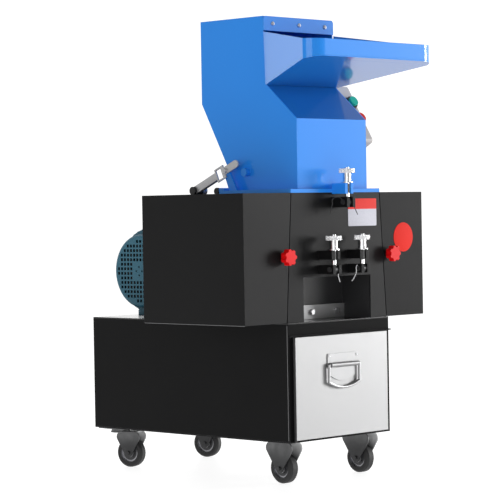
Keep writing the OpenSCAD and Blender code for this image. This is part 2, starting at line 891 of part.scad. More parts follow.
// A closed bail of round wire: the rod, two straight sides and a curved foot
module handle_bail() {
    half = handle_x - bail_r - 1;
    corner_r = bail_r + 0.2;
    drop = bail_l - bail_sag;
    arc_r = (half * half + bail_sag * bail_sag) / (2 * bail_sag);
    spread = asin(half / arc_r);
    color(steel) place() translate([0, bail_y, bail_z]) {
        bar_x(-half, half, bail_r);
        for (s = [-1, 1]) translate([s * half, 0, 0]) {
            sphere(r = corner_r);
            translate([0, 0, -drop]) cylinder(r = bail_r, h = drop);
            translate([0, 0, -drop]) sphere(r = corner_r);
        }
        translate([0, 0, arc_r - bail_l]) rotate([90, 0, 0]) rotate(-90 - spread)
            rotate_extrude(angle = 2 * spread) translate([arc_r, 0]) circle(r = bail_r);
    }
}

// CASTERS

// Fork legs either side of a wheel, with the axle through them. A leg has two round shoulders,
// and the straight lines that touch a shoulder and the axle's boss draw it in.
module fork(top_z, half) {
    boss_r = axle_r + 6;
    high_y = half - shoulder_r;
    high_z = top_z - shoulder_r;
    down = [-high_y, wheel_r - high_z];
    out = atan2(down[1], down[0]) + acos((shoulder_r - boss_r) / norm(down));
    edge = [cos(out), sin(out)];
    for (s = [-1, 1]) translate([s * (fork_gap + caster_t / 2), 0, 0])
        along_x(-caster_t / 2, caster_t / 2) {
            for (k = [-1, 1]) translate([k * high_y, high_z]) circle(r = shoulder_r);
            translate([0, wheel_r]) circle(r = boss_r);
            polygon([[-high_y, top_z], [-high_y - shoulder_r * edge[0], high_z + shoulder_r * edge[1]],
                [-boss_r * edge[0], wheel_r + boss_r * edge[1]],
                [boss_r * edge[0], wheel_r + boss_r * edge[1]],
                [high_y + shoulder_r * edge[0], high_z + shoulder_r * edge[1]], [high_y, top_z]]);
        }
    translate([0, 0, wheel_r]) bar_x(-fork_gap - caster_t - 5, fork_gap + caster_t + 5, axle_r);
}

module caster_front(s) {
    wide = fork_gap + caster_t + 8;
    color(zinc) place() translate([s * caster_x, caster_front_y, 0]) {
        fork(caster_h - caster_t, fork_front);
        block([-wide, -fork_front, caster_h - caster_t], [wide, fork_front, caster_h]);
    }
}

module caster_front_left() {
    caster_front(-1);
}

module caster_front_right() {
    caster_front(1);
}

// Wheel: tyre with a crowned tread round a hub with a running bore
module wheel() {
    w = wheel_w / 2;
    color([0.1, 0.1, 0.1]) rotate([0, 90, 0]) rotate_extrude() polygon([
        [axle_r + turn, -w + 1], [14, -w + 1], [14, -w + 5], [24, -w + 5], [24, -w],
        [wheel_r - 4, -w], [wheel_r, -w + 5], [wheel_r, w - 5], [wheel_r - 4, w],
        [24, w], [24, w - 5], [14, w - 5], [14, w - 1], [axle_r + turn, w - 1]]);
}

module wheel_front_left() {
    place() translate([-caster_x, caster_front_y, wheel_r]) wheel();
}

module wheel_front_right() {
    place() translate([caster_x, caster_front_y, wheel_r]) wheel();
}

// The rear casters' plates, each with the ball race below it
module caster_plates() {
    plate_half = 38;
    color(zinc) place() for (s = [-1, 1]) translate([s * caster_x, caster_rear_y, 0]) {
        block([-plate_half, -plate_half - 6, caster_h - caster_t],
            [plate_half, plate_half + 6, caster_h]);
        translate([0, 0, caster_h - caster_t - race_h]) cylinder(r = plate_half - 14, h = race_h);
    }
}

// Places what turns with a rear caster, its wheel trailing towards the front
module on_swivel(s) {
    place() translate([s * caster_x, caster_rear_y, 0]) rotate(caster_turn)
        children();
}

module caster_rear(s) {
    top = caster_h - caster_t - race_h - run;
    wide = fork_gap + caster_t;
    color(zinc) on_swivel(s) {
        translate([0, 0, top - caster_t]) cylinder(r = 26, h = caster_t);
        translate([0, -caster_trail, 0]) fork(top, fork_rear);
        block([-wide, -caster_trail - fork_rear + shoulder_r, top - caster_t], [wide, 0, top]);
    }
}

module caster_rear_left() {
    caster_rear(-1);
}

module caster_rear_right() {
    caster_rear(1);
}

module wheel_rear_left() {
    on_swivel(-1) translate([0, -caster_trail, wheel_r]) wheel();
}

module wheel_rear_right() {
    on_swivel(1) translate([0, -caster_trail, wheel_r]) wheel();
}

cabinet_walls();
cabinet_deck();
cabinet_floor();
cabinet_front();
front_plate();
recess_box();
steel_strip();
chamber();
rotor();
left_guard();
right_guard();
clamp_ears();
swing_bolt_left();
swing_bolt_right();
swing_bolt_top();
star_knobs();
hopper_flange();
hopper_left();
hopper_right();
hopper_front();
hopper_back();
hopper_roof();
tray_floor();
tray_walls();
hopper_hinge();
stay_lever();
switch_box();
green_button();
red_button();
motor();
fan_cover();
drawer();
drawer_front();
handle_plate();
handle_bail();
caster_plates();
caster_front_left();
caster_front_right();
caster_rear_left();
caster_rear_right();
wheel_front_left();
wheel_front_right();
wheel_rear_left();
wheel_rear_right();
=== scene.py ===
"""Finishes the plastic crusher: paint, plating and rubber on every CAD piece, and the small
trim that the photograph shows, such as screws, clips, plates and the motor's fan."""
import json
import math

import bmesh
import bpy
import numpy as np
from mathutils import Matrix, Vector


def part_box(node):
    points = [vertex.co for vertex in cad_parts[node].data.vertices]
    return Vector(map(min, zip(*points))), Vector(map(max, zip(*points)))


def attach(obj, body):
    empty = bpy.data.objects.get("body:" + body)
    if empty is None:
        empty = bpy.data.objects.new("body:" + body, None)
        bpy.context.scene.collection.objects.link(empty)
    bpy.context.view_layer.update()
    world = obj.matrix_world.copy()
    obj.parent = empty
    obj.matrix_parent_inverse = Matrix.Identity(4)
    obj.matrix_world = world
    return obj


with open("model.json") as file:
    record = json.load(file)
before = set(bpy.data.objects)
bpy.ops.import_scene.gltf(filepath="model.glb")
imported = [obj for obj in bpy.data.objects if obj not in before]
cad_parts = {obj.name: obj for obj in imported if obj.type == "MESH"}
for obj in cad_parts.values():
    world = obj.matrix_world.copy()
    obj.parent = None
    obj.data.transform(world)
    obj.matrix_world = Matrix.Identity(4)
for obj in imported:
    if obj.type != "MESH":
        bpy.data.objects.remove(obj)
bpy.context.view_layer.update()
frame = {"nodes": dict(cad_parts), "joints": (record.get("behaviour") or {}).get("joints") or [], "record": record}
nodes = frame["nodes"]
joints = {joint["name"]: joint for joint in frame["joints"]}
MM = 0.001
ACROSS = (1, 0, 0)
FORWARD = (0, -1, 0)

# PLACES TAKEN FROM THE FRAME

front_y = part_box("cabinet_floor")[0].y
plate_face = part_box("front_plate")[0].y
base_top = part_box("cabinet_deck")[1].z
guard_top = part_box("left_guard")[1].z


def point(x, y, z):
    """A place in metres from millimetres across, behind the cabinet's front and above the ground."""
    return np.array([x * MM, front_y + y * MM, z * MM])


# SHADER MATHS


class Value:
    """A number that varies over a surface; arithmetic on it adds Math nodes."""

    def __init__(self, finish, socket):
        self.finish = finish
        self.socket = socket

    def maths(self, operation, *others):
        node = self.finish.node("Math", {"operation": operation},
                                {k: v for k, v in enumerate((self,) + others)})
        return Value(self.finish, node.outputs[0])

    def __add__(self, other):
        return self.maths("ADD", other)

    def __sub__(self, other):
        return self.maths("SUBTRACT", other)

    def __mul__(self, other):
        return self.maths("MULTIPLY", other)

    def __gt__(self, other):
        return self.maths("GREATER_THAN", other)

    def __lt__(self, other):
        return self.maths("LESS_THAN", other)

    def __rsub__(self, other):
        return (self * -1.0) + other

    __radd__ = __add__
    __rmul__ = __mul__

    def sine(self):
        return self.maths("SINE")

    def size(self):
        return self.maths("ABSOLUTE")

    def smooth(self, low, high, start=0.0, end=1.0):
        """The start value below low, the end value above high, and a smooth step between."""
        node = self.finish.node("MapRange", {"interpolation_type": "SMOOTHSTEP"},
                                {"Value": self, "From Min": low, "From Max": high,
                                 "To Min": start, "To Max": end})
        return Value(self.finish, node.outputs[0])


class NodeTree:
    """The node tree of a material or a world, and the one way in which nodes are added to it."""

    def __init__(self, owner):
        owner.use_nodes = True
        self.tree = owner.node_tree
        self.tree.nodes.clear()

    def node(self, kind, settings, sockets):
        """Adds a node: its settings come first, then the values or links of its sockets."""
        made = self.tree.nodes.new("ShaderNode" + kind)
        for name, value in settings.items():
            setattr(made, name, value)
        for name, value in sockets.items():
            self.feed(made.inputs[name.replace("_", " ") if isinstance(name, str) else name], value)
        return made

    def feed(self, socket, value):
        if isinstance(value, Value):
            self.tree.links.new(value.socket, socket)
        elif isinstance(value, bpy.types.NodeSocket):
            self.tree.links.new(value, socket)
        elif isinstance(value, (tuple, list)) and socket.type == "RGBA":
            socket.default_value = tuple(value)[:3] + (1.0,)
        else:
            socket.default_value = value


class Finish(NodeTree):
    """A material with one Principled shader, and short ways to build what feeds it."""

    def __init__(self, name, **shader):
        self.material = bpy.data.materials.new(name)
        super().__init__(self.material)
        self.shader = self.node("BsdfPrincipled", {}, shader)
        self.node("OutputMaterial", {}, {"Surface": self.shader.outputs[0]})

    def set(self, name, value):
        self.feed(self.shader.inputs[name], value)

    def place(self):
        """The point on the object, in metres."""
        return self.node("TexCoord", {}, {}).outputs["Object"]

    def along(self, axis):
        split = self.node("SeparateXYZ", {}, {0: self.place()})
        return Value(self, split.outputs["XYZ".index(axis)])

    def stretched(self, scale):
        """The point on the object, scaled by its own number along each axis."""
        node = self.node("Mapping", {}, {"Vector": self.place(), "Scale": scale})
        return node.outputs[0]

    def noise(self, scale, detail=2.0, where=None, roughness=0.5):
        node = self.node("TexNoise", {}, {"Vector": where or self.place(), "Scale": scale,
                                          "Detail": detail, "Roughness": roughness})
        return Value(self, node.outputs["Fac"])

    def spots(self, scale):
        node = self.node("TexVoronoi", {}, {"Vector": self.place(), "Scale": scale})
        return Value(self, node.outputs["Distance"])

    def facing(self, axis):
        """The share of the surface's normal along an axis."""
        normal = self.node("NewGeometry", {}, {}).outputs["Normal"]
        split = self.node("SeparateXYZ", {}, {0: normal})
        return Value(self, split.outputs["XYZ".index(axis)])

    def blend(self, factor, first, second):
        node = self.node("Mix", {"data_type": "RGBA"}, {0: factor, 6: first, 7: second})
        return node.outputs[2]

    def axle_distance(self, centre, axis):
        """Distance from a line: the length of what is left when the part along it is taken off."""
        away = self.node("VectorMath", {"operation": "SUBTRACT"},
                         {0: self.place(), 1: tuple(centre)}).outputs[0]
        across = self.node("VectorMath", {"operation": "CROSS_PRODUCT"},
                           {0: away, 1: tuple(axis)}).outputs[0]
        return Value(self, self.node("VectorMath", {"operation": "LENGTH"}, {0: across}).outputs[1])

    def relief(self, height, strength, distance, edge=0.0):
        """Bump from a height, over edges rounded by the given radius in metres."""
        sockets = {"Height": height, "Strength": strength, "Distance": distance}
        if edge:
            sockets["Normal"] = self.node("Bevel", {"samples": 6}, {"Radius": edge}).outputs[0]
        self.set("Normal", self.node("Bump", {}, sockets).outputs[0])

    def rounded_edge_mask(self, radius, low, high):
        """1 at outer edges, where a rounded normal leaves the true one, and 0 on flats."""
        rounded = self.node("Bevel", {"samples": 6}, {"Radius": radius}).outputs[0]
        true = self.node("NewGeometry", {}, {}).outputs["Normal"]
        dot = self.node("VectorMath", {"operation": "DOT_PRODUCT"},
                        {0: rounded, 1: true}).outputs[1]
        return (1.0 - Value(self, dot)).smooth(low, high)


# FINISHES

# Painted light on the recess: a paler tone on its left side, which fades out between two places across the machine
PAINTED_LIGHT_TONE = (0.30, 0.30, 0.30)
PAINTED_LIGHT_FADE = (-10 * MM, 75 * MM)


def powder_coat(name, rough, gloss=0.11, painted_shading_scale=1.0, painted_light_left=0.0):
    """Black textured powder coat: a fine orange peel, faint dust, edges rubbed a little lighter, which
    also paints in edge highlights, and painted light on the left where that is asked for. The tone
    is scaled by the painted shading scale: above one it is painted light, below one painted shade."""
    finish = Finish(name, Metallic=0.0, IOR=1.5, Specular_IOR_Level=gloss)
    peel = finish.noise(900.0, 3.0, roughness=0.6)
    cloud = finish.noise(6.0, 3.0)
    # Lighter edges: partly rubbed coat, partly painted highlight along the sheet's edges
    wear_and_highlight = finish.rounded_edge_mask(1.2 * MM, 0.02, 0.2) * (finish.noise(40.0).smooth(0.3, 0.6) * 0.6 + 0.4)
    # The whole tone is scaled: above one for painted light, below one for painted shade
    dark, light = 0.0050 * painted_shading_scale, 0.0082 * painted_shading_scale
    tone = finish.blend(cloud, (dark, dark, dark * 1.05), (light, light, light * 1.05))
    # Painted light: the left side is blended towards a pale tone
    if painted_light_left:
        left = 1.0 - finish.along("X").smooth(*PAINTED_LIGHT_FADE)
        tone = finish.blend(left * painted_light_left, tone, PAINTED_LIGHT_TONE)
    finish.set("Base Color", finish.blend(wear_and_highlight * 0.7, tone, (0.12, 0.12, 0.125)))
    finish.set("Roughness", rough + cloud * 0.10 + peel * 0.06)
    finish.relief(peel, 0.35, 0.35 * MM, 1.2 * MM)
    return finish.material


def gloss_blue(name, painted_shade_share):
    """Gloss blue enamel over sheet: a slow ripple, a very fine peel and rubbed folds, whose paler edges
    also paint in highlights. Where it faces up or down it is darkened by the given share: painted shade."""
    finish = Finish(name, Metallic=0.0, IOR=1.5, Specular_IOR_Level=0.08,
                    Coat_Weight=0.8, Coat_IOR=1.55, Coat_Roughness=0.07)
    cloud = finish.noise(3.0, 2.0)
    peel = finish.noise(260.0, 2.0)
    # Paler edges: partly rubbed enamel, partly painted highlight along the folds
    wear_and_highlight = finish.rounded_edge_mask(1.5 * MM, 0.03, 0.25) * finish.noise(30.0).smooth(0.4, 0.7)
    tone = finish.blend(cloud, (0.015, 0.255, 0.850), (0.019, 0.290, 0.930))
    # Painted shade: faces that look up or down are darkened towards deep blue
    level = finish.facing("Z").size().smooth(0.1, 0.55)
    tone = finish.blend(level * painted_shade_share, tone, (0.003, 0.050, 0.200))
    finish.set("Base Color", finish.blend(wear_and_highlight * 0.6, tone, (0.16, 0.44, 0.95)))
    finish.set("Roughness", 0.32 + cloud * 0.08)
    finish.relief(peel * 0.4 + finish.noise(14.0, 1.0) * 2.0, 0.05, 0.6 * MM, 1.6 * MM)
    return finish.material


def brushed(name, tone, rough, scale):
    """Satin sheet steel: long fine scratches along one direction, and slow clouding."""
    finish = Finish(name, Metallic=1.0)
    grain = finish.noise(1.0, 4.0, finish.stretched(scale))
    cloud = finish.noise(5.0, 2.0)
    light = tuple(min(1.0, c * 1.12) for c in tone)
    finish.set("Base Color", finish.blend(grain * 0.6 + cloud * 0.4, tone, light))
    finish.set("Roughness", rough + grain * 0.14 + cloud * 0.05)
    finish.relief(grain, 0.12, 0.2 * MM, 0.6 * MM)
    return finish.material


def zinc_plate(node):
    """Zinc-plated pressing: bluish grey with spangle, darker towards the bottom near the wheel, and
    paler on its right-hand side, which is painted light."""
    low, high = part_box(node)
    finish = Finish("zinc of " + node)
    # Painted light: the right-hand side, which lies in shade, is made paler and less metallic
    right = (finish.along("X") - (low.x + high.x) / 2).smooth(8 * MM, 14 * MM)
    dark_band_height = 26 * MM
    upper_and_painted_light_mask = finish.along("Z").smooth(low.z + dark_band_height, high.z) * (right * 0.6 + 0.7)
    spangle = finish.spots(220.0)
    haze = finish.noise(25.0, 4.0)
    lower_tone = finish.blend(haze, (0.030, 0.030, 0.031), (0.075, 0.076, 0.078))
    upper_tone_with_painted_light = finish.blend(haze * 0.4 + right * 0.8, (0.050, 0.051, 0.053), (0.86, 0.864, 0.87))
    finish.set("Metallic", 0.6 - right * 0.6)
    finish.set("Base Color", finish.blend(upper_and_painted_light_mask * (haze * 0.8 + 0.4), lower_tone, upper_tone_with_painted_light))
    finish.set("Roughness", 0.28 + haze * 0.2 + spangle * 0.1)
    finish.relief(haze + spangle * 0.4, 0.12, 0.25 * MM, 0.7 * MM)
    return finish.material


EYE_TOP = 10 * MM
EAR_LOW = 22 * MM
EAR_TOP = 45.5 * MM


def swing_bolt_plate(joint_name):
    """A swing bolt: bright nut and rod, blackened at the eye and where the rod lies in its ear, by
    height above the bolt's pin."""
    finish = Finish("plating of " + joint_name)
    height = finish.along("Z") - joints[joint_name]["pos_m"][2]
    dark = (height < EYE_TOP) + (height > EAR_LOW) * (height < EAR_TOP)
    haze = finish.noise(60.0, 3.0)
    plated = finish.blend(haze, (0.66, 0.66, 0.67), (0.82, 0.82, 0.83))
    finish.set("Base Color", finish.blend(dark, plated, (0.040, 0.040, 0.041)))
    finish.set("Metallic", 1.0 - dark * 0.7)
    finish.set("Roughness", 0.16 + haze * 0.12 + dark * 0.16)
    finish.relief(haze, 0.06, 0.2 * MM, 0.5 * MM)
    return finish.material


GRIP_R = 10.5 * MM
GRIP_GAP = 0.3 * MM
GRIP_L = 30 * MM


def stay_metal():
    """The stay lever: zinc-plated arm with a black rubber sleeve over its grip, by distance from
    the grip's axis and from the lever's left side."""
    finish = Finish("zinc arm, black grip")
    low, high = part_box("stay_lever")
    grip = (0.0, high.y - GRIP_R, guard_top + GRIP_R + GRIP_GAP)
    near = finish.axle_distance(grip, ACROSS) < GRIP_R + GRIP_GAP
    beside = (finish.along("X") - low.x) < GRIP_L
    rubber = near * beside
    haze = finish.noise(25.0, 4.0)
    ribs = (finish.along("X") * 2600.0).sine()
    metal = finish.blend(haze, (0.50, 0.50, 0.51), (0.66, 0.66, 0.67))
    finish.set("Base Color", finish.blend(rubber, metal, (0.012, 0.012, 0.013)))
    finish.set("Metallic", 0.55 - rubber * 0.55)
    finish.set("Roughness", 0.30 + haze * 0.18 + rubber * 0.2)
    finish.relief(haze * 0.4 + ribs * rubber, 0.15, 0.4 * MM, 0.7 * MM)
    return finish.material


def plastic(name, tone, rough):
    """Moulded plastic: a fine grain, slight flow clouding and softened edges."""
    finish = Finish(name, Metallic=0.0, IOR=1.46, Specular_IOR_Level=0.14)
    grain = finish.noise(600.0, 2.0)
    cloud = finish.noise(20.0, 2.0)
    dark = tuple(c * 0.88 for c in tone)
    finish.set("Base Color", finish.blend(cloud, dark, tone))
    finish.set("Roughness", rough + grain * 0.08)
    finish.relief(grain, 0.1, 0.2 * MM, 0.8 * MM)
    return finish.material


RING_R = 18.5 * MM
RING_DROP = 10.2 * MM


def switch_box_plastic():
    """Beige moulded box with black rings round its buttons: black within the ring's radius of a
    button's axis, down to a given drop below the button's middle along that axis."""
    finish = Finish("beige box, black rings", Metallic=0.0, IOR=1.46)
    grain = finish.noise(600.0, 2.0)
    near = None
    for button in ("green", "red"):
        low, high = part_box(button + "_button")
        axis = np.array(joints[button + "_press"]["axis"])
        middle = (np.array(low) + np.array(high)) / 2
        ring = finish.axle_distance(middle, axis) < RING_R
        near = ring if near is None else near + ring
    along = finish.along("Y") * float(axis[1]) + finish.along("Z") * float(axis[2])
    black_ring = near * (along > float(middle @ axis) - RING_DROP)
    tone = finish.blend(grain, (0.50, 0.46, 0.43), (0.58, 0.54, 0.50))
    finish.set("Base Color", finish.blend(black_ring, tone, (0.008, 0.008, 0.009)))
    finish.set("Roughness", 0.42 + grain * 0.08)
    finish.relief(grain, 0.1, 0.2 * MM, 0.8 * MM)
    return finish.material


def motor_paint(name, top_highlight_share, shaded_holes=None):
    """Hammered blue-green enamel: paler on what faces up, a painted highlight from above, and dark on the sides of
    its holes, painted shade.
    """
    finish = Finish(name, Metallic=0.0, IOR=1.5, Specular_IOR_Level=0.3)
    hammer = finish.spots(170.0)
    cloud = finish.noise(12.0, 3.0)
    # Painted highlight: what faces up is blended towards pale grey by the given share
    dust_and_top_highlight = finish.facing("Z").smooth(0.2, 0.9) * top_highlight_share
    tone = finish.blend(cloud, (0.028, 0.120, 0.175), (0.040, 0.160, 0.228))
    tone = finish.blend(dust_and_top_highlight, tone, (0.50, 0.54, 0.58))
    if shaded_holes:
        centre, reach = shaded_holes
        beside_hole = finish.facing("X").size() < 0.5
        # Painted shade: the sides of the holes inside the cover's rim are darkened to near black
        painted_hole_shade = (finish.axle_distance(centre, ACROSS) < reach) * beside_hole
        tone = finish.blend(painted_hole_shade, tone, (0.006, 0.010, 0.012))
    finish.set("Base Color", tone)
    finish.set("Roughness", 0.36 + hammer * 0.12)
    finish.relief(hammer, 0.15, 0.3 * MM, 0.8 * MM)
    return finish.material


HUB_RING = (9 * MM, 11.5 * MM)
RIM_IN = 19.5 * MM
RIM_OUT = 24 * MM
TREAD_R = 35 * MM


def wheel_finish(joint_name):
    """A caster's wheel: rubber tyre, a pressed grey rim and a darker hub, by distance from the
    axle."""
    joint = joints[joint_name]
    finish = Finish("wheel of " + joint_name)
    radius = finish.axle_distance(joint["pos_m"], joint["axis"])
    tyre = radius > RIM_OUT
    rim = (radius > RIM_IN) * (1.0 - tyre)
    dust_and_top_highlight = finish.noise(60.0, 4.0)
    tread = (radius > TREAD_R) * finish.noise(400.0, 2.0)
    rubber = finish.blend(dust_and_top_highlight * 0.5, (0.008, 0.008, 0.009), (0.024, 0.024, 0.023))
    ring = (radius > HUB_RING[0]) * (radius < HUB_RING[1])
    dark_hub = finish.blend(ring, (0.035, 0.035, 0.038), (0.24, 0.24, 0.25))
    hub = finish.blend(rim, dark_hub, (0.34, 0.34, 0.36))
    finish.set("Base Color", finish.blend(tyre, hub, rubber))
    finish.set("Metallic", rim)
    finish.set("Roughness", 0.34 + tyre * 0.22 + dust_and_top_highlight * 0.1)
    finish.relief(dust_and_top_highlight + tread * 1.5, 0.2, 0.3 * MM, 0.6 * MM)
    return finish.material


def plain(name, tone, rough, metallic=0.0, gloss=0.5):
    """A small part's own finish: a flat tone broken by fine grain."""
    finish = Finish(name, Metallic=metallic, Specular_IOR_Level=gloss)
    grain = finish.noise(500.0, 2.0)
    finish.set("Base Color", finish.blend(grain, tuple(c * 0.85 for c in tone), tone))
    finish.set("Roughness", rough + grain * 0.1)
    return finish.material


# SURFACES


def surface(name, grid, material, body):
    """A closed mesh from a grid of points: each row is a ring, faces join each point to the next
    round the ring and to the same point of the next ring, and the first and last rings are
    filled flat."""
    grid = np.asarray(grid, float)
    rows, cols = grid.shape[:2]
    index = np.arange(rows * cols).reshape(rows, cols)
    index = np.hstack([index, index[:, :1]])
    corners = [index[:-1, :-1], index[:-1, 1:], index[1:, 1:], index[1:, :-1]]
    faces = [tuple(quad) for quad in np.stack(corners, -1).reshape(-1, 4).tolist()]
    faces += [tuple(range(cols))[::-1], tuple(range((rows - 1) * cols, rows * cols))]
    mesh = bpy.data.meshes.new(name)
    mesh.from_pydata(grid.reshape(-1, 3).tolist(), [], faces)
    mesh.polygons.foreach_set("use_smooth", [True] * len(mesh.polygons))
    mesh.materials.append(material)
    mesh.update()
    piece = bpy.data.objects.new(name, mesh)
    bpy.context.scene.collection.objects.link(piece)
    recalculated(piece)
    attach(piece, body)
    return piece


def recalculated(piece):
    """Merges doubles, turns the faces outwards and keeps edges over 35 degrees sharp."""
    work = bmesh.new()
    work.from_mesh(piece.data)
    bmesh.ops.remove_doubles(work, verts=work.verts, dist=1e-6)
    bmesh.ops.recalc_face_normals(work, faces=work.faces)
    work.to_mesh(piece.data)
    work.free()
    piece.data.update()
    piece.data.set_sharp_from_angle(angle=math.radians(35))


def joined(name, parts):
    """One piece from several, each built in its place."""
    bpy.ops.object.select_all(action="DESELECT")
    for part in parts:
        part.select_set(True)
    bpy.context.view_layer.objects.active = parts[0]
    bpy.ops.object.join()
    parts[0].name = name
    bpy.ops.object.select_all(action="DESELECT")
    return parts[0]


def frame_of(axis):
    """The axis at unit length, and two unit vectors square to it and to each other."""
    axis = np.asarray(axis, float) / np.linalg.norm(axis)
    helper = np.array([0, 0, 1.0]) if abs(axis[2]) < 0.9 else np.array([1.0, 0, 0])
    first = np.cross(helper, axis)
    first /= np.linalg.norm(first)
    return axis, first, np.cross(axis, first)


def turned(name, profile, centre, axis, material, body, steps=32):
    """A turned shape: each profile point (radius, height) in mm goes round the axis in a circle."""
    axis, first, second = frame_of(axis)
    angle = np.linspace(0, 2 * math.pi, steps, endpoint=False)
    ring = np.outer(np.cos(angle), first) + np.outer(np.sin(angle), second)
    radius, height = np.array(profile, float).T * MM
    grid = np.asarray(centre) + radius[:, None, None] * ring[None] + height[:, None, None] * axis
    return surface(name, grid, material, body)


def wire(name, path, radius, material, body, sides=10):
    """A round wire: circles of one radius set square to a path, each turned as little as possible."""
    path = np.asarray(path, float)
    step = np.gradient(path, axis=0)
    step /= np.linalg.norm(step, axis=1, keepdims=True)
    helper = np.array([1.0, 0.13, 0.29])
    side = np.cross(step, helper)
    side /= np.linalg.norm(side, axis=1, keepdims=True)
    other = np.cross(step, side)
    angle = np.linspace(0, 2 * math.pi, sides, endpoint=False)
    grid = path[:, None] + radius * (np.cos(angle)[None, :, None] * side[:, None]
                                     + np.sin(angle)[None, :, None] * other[:, None])
    return surface(name, grid, material, body)


def rounded_outline(half_x, half_z, radius, steps=6):
    """A rectangle's outline with round corners: a quarter circle about each corner's centre."""
    turn = np.linspace(0, math.pi / 2, steps)
    corner = np.stack([np.cos(turn), np.sin(turn)], -1) * radius
    parts = []
    for k, (sx, sz) in enumerate([(1, 1), (-1, 1), (-1, -1), (1, -1)]):
        c, s = math.cos(k * math.pi / 2), math.sin(k * math.pi / 2)
        parts.append(corner @ np.array([[c, s], [-s, c]])
                     + [sx * (half_x - radius), sz * (half_z - radius)])
    return np.vstack(parts)


def plate(name, outline, centre, thickness, round_edge, material, body):
    """A flat plate facing the front: the outline is carried forward, and drawn in over a round edge."""
    outline = np.asarray(outline, float)
    turn = np.linspace(0, math.pi / 2, 4)
    insets = np.concatenate([[0.0], round_edge * (np.cos(turn) - 1)])
    depths = np.concatenate([[0.0], thickness - round_edge + round_edge * np.sin(turn)])
    middle = outline.mean(0)
    radial = outline - middle
    length = np.linalg.norm(radial, axis=1, keepdims=True)
    grid = []
    for inset, forward in zip(insets, depths):
        flat = middle + radial * (length + inset) / length
        grid.append(np.stack([flat[:, 0], np.full(len(flat), -forward), flat[:, 1]], -1))
    return surface(name, np.array(grid) * MM + centre, material, body)


# THE CAD PIECES' FINISHES

black = powder_coat("black powder coat", 0.40)
deck_black = powder_coat("smoother black coat", 0.07, gloss=0.4)
# The recess's coat is painted light: its tone is raised fivefold, and it is paler still on the left
recess_black_painted_light = powder_coat("black coat with painted light", 0.45, painted_shading_scale=5.0, painted_light_left=0.5)
blue = gloss_blue("gloss blue enamel", 0.0)
# The hopper's front and the tray's floor carry painted shade on their sloping and level faces
shaded_blue = gloss_blue("blue enamel with painted shade", 0.6)
stainless = brushed("brushed stainless", (0.30, 0.30, 0.302), 0.37, (900.0, 900.0, 9.0))
bare_steel = brushed("bare ground steel", (0.50, 0.50, 0.505), 0.50, (14.0, 700.0, 700.0))
knob_red = plastic("red knob plastic", (0.84, 0.006, 0.008), 0.35)
button_green = plastic("green button plastic", (0.020, 0.44, 0.33), 0.3)
button_red = plastic("red button plastic", (0.72, 0.035, 0.018), 0.3)
box_beige = switch_box_plastic()
# The motor carries a painted highlight on what faces up
motor_teal = motor_paint("motor enamel", 0.4)
cover_low, cover_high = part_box("fan_cover")
cover_middle = tuple((cover_low + cover_high) / 2)
COVER_RIM = 8 * MM
holes_reach = (cover_high.z - cover_low.z) / 2 - COVER_RIM
# The fan cover carries painted shade on the sides of its holes and a faint painted highlight on top
cover_teal = motor_paint("cover enamel", 0.1, (cover_middle, holes_reach))
# Painted shade: the cabinet's front band and the drawer's edging get a coat at under half the tone, with little
# sheen
shaded_front_black = powder_coat("black coat with painted shade", 0.5, gloss=0.05, painted_shading_scale=0.45)
# Copies of one black coat whose sheen is set part by part to paint in light and shade across the machine
walls_black = powder_coat("black coat of the cabinet", 0.40, gloss=0.075)
left_black = powder_coat("black coat of the left guard", 0.40, gloss=0.125)
right_black = powder_coat("black coat of the right guard", 0.40, gloss=0.08)
plate_steel = brushed("handle plate steel", (0.30, 0.30, 0.303), 0.36, (500.0, 20.0, 500.0))
handle_steel = brushed("handle steel", (0.40, 0.40, 0.405), 0.24, (500.0, 20.0, 500.0))

FINISH_OF_SLOT = {
    "black_coat": black, "bare_steel": bare_steel,
    "stainless": stainless, "blue_paint": blue, "red_plastic": knob_red,
    "green_plastic": button_green, "box_plastic": box_beige, "motor_paint": motor_teal,
}
for part in frame["record"]["subparts"]:
    finish = FINISH_OF_SLOT.get(part["material_slot"])
    if part["material_slot"] == "zinc_plate":
        finish = zinc_plate(part["node"])
    if finish:
        nodes[part["node"]].data.materials.clear()
        nodes[part["node"]].data.materials.append(finish)
OWN_FINISH = {
    "cabinet_deck": deck_black, "cabinet_front": shaded_front_black, "cabinet_walls": walls_black,
    "recess_box": recess_black_painted_light, "left_guard": left_black, "right_guard": right_black,
    "handle_plate": plate_steel, "handle_bail": handle_steel, "red_button": button_red,
    "hopper_hinge": blue, "hopper_front": shaded_blue, "tray_floor": shaded_blue,
    "fan_cover": cover_teal,
}
for side in ("left", "right", "top"):
    OWN_FINISH["swing_bolt_" + side] = swing_bolt_plate("bolt_%s_swing" % side)
for name, finish in OWN_FINISH.items():
    nodes[name].data.materials[0] = finish
for side in ("front_left", "front_right", "rear_left", "rear_right"):
    wheel = nodes["wheel_" + side]
    wheel.data.materials.clear()
    wheel.data.materials.append(wheel_finish("wheel_%s_roll" % side))
nodes["stay_lever"].data.materials.clear()
nodes["stay_lever"].data.materials.append(stay_metal())

# TRIM

steel_screw = plain("screw steel", (0.85, 0.85, 0.86), 0.36, 1.0)
black_part = plain("black trim", (0.012, 0.012, 0.013), 0.45)

# A turned profile starts and ends this near its axis, in mm
AXIS_R = 0.01


def screw_head(name, centre, axis, radius, height, body):
    """A button head: a low quarter-ellipse dome over a short rim, with a dimple for the key."""
    turn = np.linspace(0, math.pi / 2, 7)
    dimple = radius * 0.36
    dome = [(radius * math.cos(t), height * 0.25 + height * 0.75 * math.sin(t)) for t in turn]
    dome = [p for p in dome if p[0] > dimple]
    rim = [(dimple, height), (radius * 0.34, height * 0.45), (AXIS_R, height * 0.4)]
    return turned(name, [(AXIS_R, 0), (radius, 0)] + dome + rim, centre, axis,
                  steel_screw, body, steps=20)


